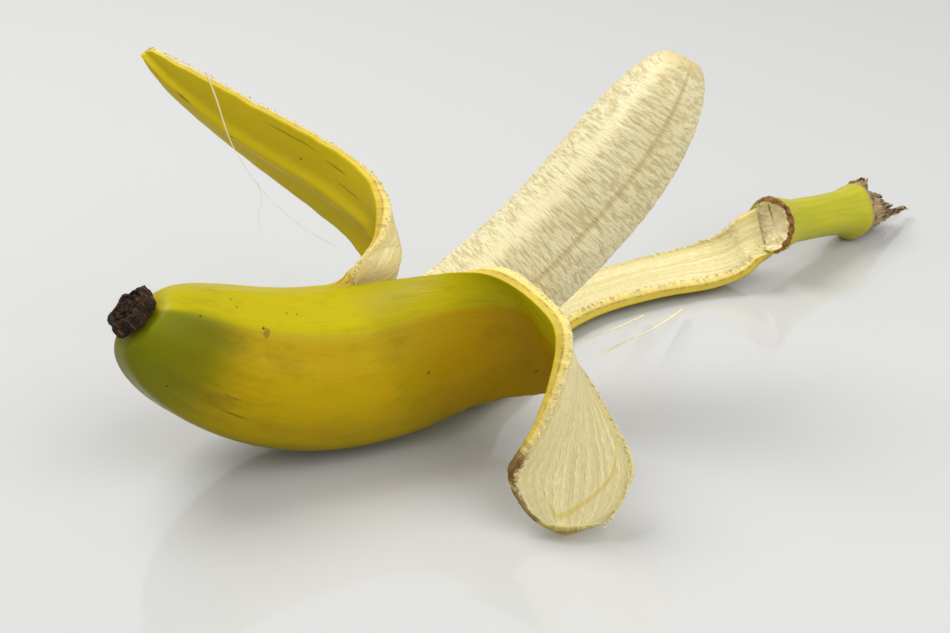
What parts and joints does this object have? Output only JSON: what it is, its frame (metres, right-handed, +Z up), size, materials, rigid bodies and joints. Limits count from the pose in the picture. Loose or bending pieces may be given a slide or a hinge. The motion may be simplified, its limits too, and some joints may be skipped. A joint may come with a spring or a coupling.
{
  "type": "peeled banana",
  "caption": "Half-peeled banana lying down, with bare pulp rising from the peel and torn strips of peel folded back, one still joined to the stem.",
  "frame": {"origin": "middle of the foot of the whole object's box, on the surface that it lies on", "axes": "+X along the longest extent, from the blossom end towards the stem, +Y away from the near side, +Z up"},
  "size_m": [0.1956, 0.159, 0.0777],
  "materials": {
    "peel": "waxy skin outside, fibrous cream inside",
    "pulp": "soft, faintly moist",
    "stem": "green fibrous, dry and brown at the end",
    "dried_flower": "dry and dark",
    "string": "thin plant fibre"
  },
  "bodies": {
    "root": {"peel": "peel", "pulp": "pulp", "stem": "stem", "blossom_tip": "dried_flower", "string_long": "string", "string_branch": "string", "string_low_1": "string", "string_low_2": "string"}
  },
  "joints": []
}
